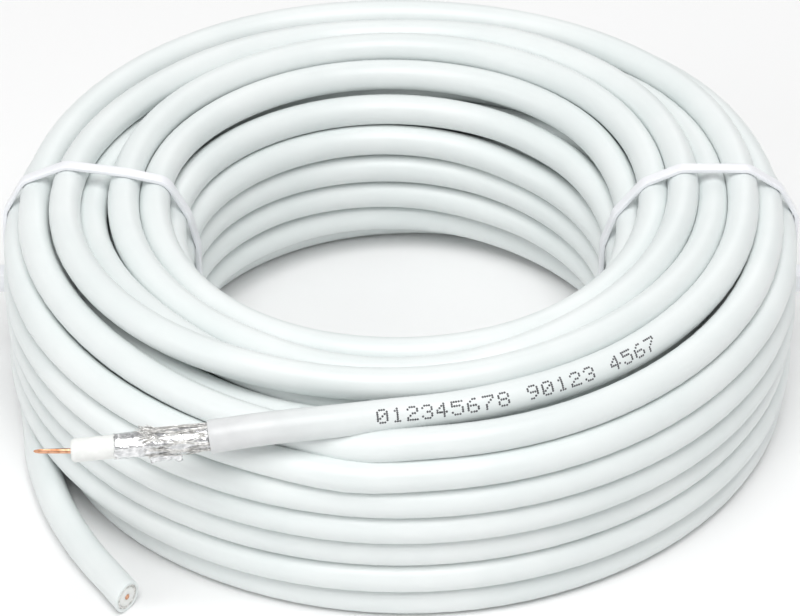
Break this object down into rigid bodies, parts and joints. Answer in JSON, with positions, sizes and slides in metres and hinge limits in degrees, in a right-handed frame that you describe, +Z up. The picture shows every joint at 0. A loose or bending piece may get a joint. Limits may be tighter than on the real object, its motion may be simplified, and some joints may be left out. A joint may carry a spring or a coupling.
{
  "type": "coaxial cable coil",
  "caption": "Coil of white coaxial cable lying flat and held by thin plastic ties, with one end stripped in steps down to its conductor, for wiring aerial and satellite sockets.",
  "frame": {"origin": "on the floor under the middle of the coil, at the middle of its bounding box", "axes": "+Z up along the coil's axis, -Y towards the loose ends at the front, +X to the right as seen from there"},
  "size_m": [0.1786, 0.1714, 0.0509],
  "materials": {
    "jacket": "satin white PVC",
    "tie": "smooth white nylon",
    "braid": "fine tinned wire braid",
    "foil": "bright crinkled foil",
    "dielectric": "matt white foamed polyethylene",
    "conductor": null
  },
  "bodies": {
    "root": {"cable_coil": "jacket", "tie_right": "tie", "tie_left": "tie", "stripped_end_jacket": "jacket", "stripped_end_braid": "braid", "stripped_end_foil": "foil", "stripped_end_dielectric": "dielectric", "stripped_end_conductor": "conductor", "cut_end_jacket": "jacket", "cut_end_braid": "braid", "cut_end_dielectric": "dielectric", "cut_end_conductor": "conductor"}
  },
  "joints": []
}
